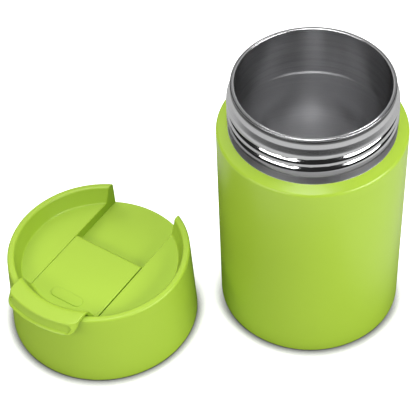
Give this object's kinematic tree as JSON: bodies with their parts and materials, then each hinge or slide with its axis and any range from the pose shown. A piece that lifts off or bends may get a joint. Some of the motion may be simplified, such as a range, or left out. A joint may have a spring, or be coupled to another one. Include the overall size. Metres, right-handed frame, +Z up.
{
  "type": "insulated flask",
  "caption": "Insulated steel flask with a bare screw neck, standing open beside its screw lid with a flip flap over the drink hole.",
  "frame": {"origin": "centre of the flask's foot, on the floor", "axes": "+Z up along the flask's axis; the lid stands to the -X side; the picture was taken from the -Y side"},
  "size_m": [0.1587, 0.0949, 0.1138],
  "materials": {
    "coat": "fine satin powder coat",
    "bare_steel": "bright rolled stainless steel",
    "liner_steel": "satin electropolished stainless steel",
    "seal": "pale silicone rubber",
    "lid_plastic": "satin moulded polypropylene",
    "insert_plastic": "grey moulded polypropylene",
    "plug_rubber": "soft silicone",
    "getter_metal": "sintered metal"
  },
  "bodies": {
    "flask": {"outer_shell": "bare_steel", "powder_coat": "coat", "base_plate": "liner_steel", "cover_disc": "bare_steel", "vacuum_seal": "seal", "liner_wall": "liner_steel", "liner_bottom": "liner_steel", "getter_cup": "bare_steel", "getter": "getter_metal"},
    "lid": {"lid_shell": "lid_plastic", "lid_insert": "insert_plastic", "lid_gasket": "seal", "hinge_pins": "bare_steel"},
    "flap": {"flap": "lid_plastic", "drink_plug": "plug_rubber", "vent_plug": "plug_rubber"}
  },
  "joints": [
    {"name": "lid_lift", "type": "slide", "parent": "flask", "child": "lid", "axis": [0, 0, 1], "range_m": [0, 0.14]},
    {"name": "flap_hinge", "type": "hinge", "parent": "lid", "child": "flap", "pos_m": [-0.0814, -0.01198, 0.027], "axis": [-0.866, 0.5, 0], "range_deg": [0, 180]}
  ]
}
